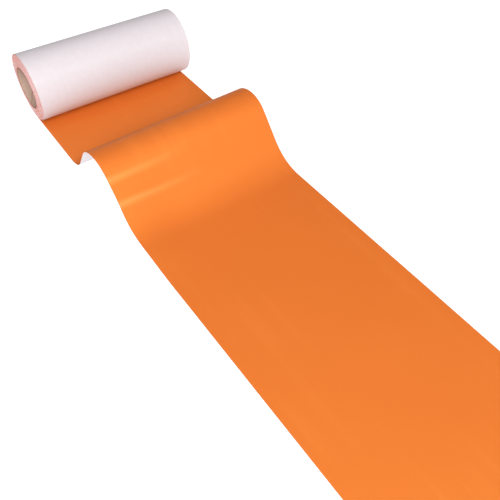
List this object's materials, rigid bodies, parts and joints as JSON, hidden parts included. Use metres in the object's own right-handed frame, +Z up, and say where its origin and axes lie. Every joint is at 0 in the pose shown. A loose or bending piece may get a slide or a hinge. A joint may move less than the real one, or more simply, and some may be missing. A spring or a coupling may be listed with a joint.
{
  "type": "grip tape roll",
  "caption": "Wide adhesive grip tape wound with its release liner on a bored paper core, its leading end run out flat with one raised ruck.",
  "frame": {"origin": "on the axis of the core's bore, halfway across the tape's width", "axes": "+Y along the bore; +X the way the tape runs out; +Z up from the plane the roll and the run-out tape lie on"},
  "size_m": [0.7885, 0.2303, 0.09],
  "materials": {
    "core_board": "raw chipboard edge",
    "core_paper": "calendered kraft paper",
    "starting_strip": "tacky, translucent",
    "face_film": "satin soft vinyl",
    "release_liner": "silicone-coated, low sheen",
    "wound_edges": "slit edges of film and liner, satin"
  },
  "bodies": {
    "run_out_tape": {"outermost_turn_film": "face_film", "outermost_turn_liner": "release_liner", "lead_film": "face_film", "lead_liner": "release_liner", "ruck_film": "face_film", "ruck_liner": "release_liner", "run_out_film": "face_film", "run_out_liner": "release_liner"},
    "roll": {"core_inner_ply": "core_paper", "core_middle_ply_1": "core_board", "core_middle_ply_2": "core_board", "core_middle_ply_3": "core_board", "core_middle_ply_4": "core_board", "core_outer_ply": "core_paper", "starting_strip": "starting_strip", "wound_tape": "wound_edges", "upper_turns_film": "face_film", "upper_turns_liner": "release_liner"}
  },
  "joints": [
    {"name": "roll_turn", "type": "hinge", "parent": "run_out_tape", "child": "roll", "pos_m": [0, 0, 0], "axis": [0, 1, 0], "continuous": true}
  ]
}
